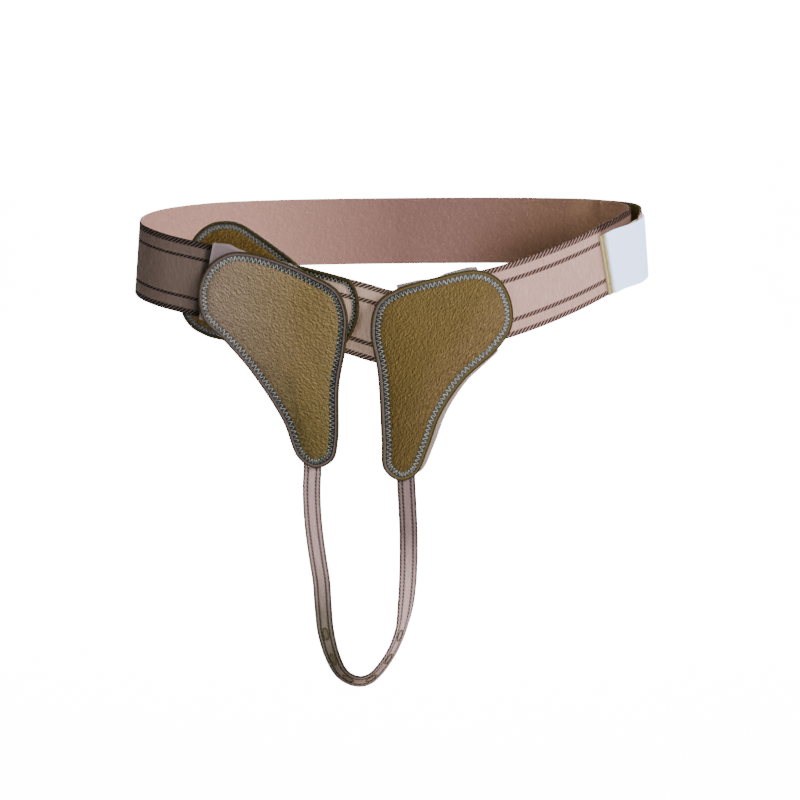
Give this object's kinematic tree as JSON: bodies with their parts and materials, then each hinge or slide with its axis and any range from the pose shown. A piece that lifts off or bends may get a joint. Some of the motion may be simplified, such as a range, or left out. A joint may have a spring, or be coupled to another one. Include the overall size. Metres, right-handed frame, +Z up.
{
  "type": "hernia belt",
  "caption": "Elastic waist belt with leather pressure pads hung in front on fabric sleeves, and a narrow buttonholed strap looped under them.",
  "frame": {"origin": "middle of the waist opening, at the height of the band's middle line at the back", "axes": "+Z up, +Y towards the back, +X to the right of someone facing the front"},
  "size_m": [0.3862, 0.2193, 0.3389],
  "materials": {
    "webbing": "woven",
    "strap_webbing": "woven",
    "pad_leather": "grained",
    "flap_leather": "grained",
    "edging_leather": "grained",
    "sleeve_fabric": "brushed",
    "cushion_fabric": "brushed",
    "tab_fabric": "smooth",
    "hook_tape": "hooked"
  },
  "bodies": {
    "root": {"main_band": "webbing", "front_band": "webbing", "closure_patch": "hook_tape", "closure_flap": "flap_leather", "tip_binding": "edging_leather", "hook_tab": "tab_fabric", "hook_layer": "hook_tape", "left_pad_sleeve": "sleeve_fabric", "right_pad_sleeve": "sleeve_fabric", "left_pad_face": "pad_leather", "right_pad_face": "pad_leather", "left_pad_cushion": "cushion_fabric", "right_pad_cushion": "cushion_fabric", "groin_strap": "strap_webbing"}
  },
  "joints": []
}
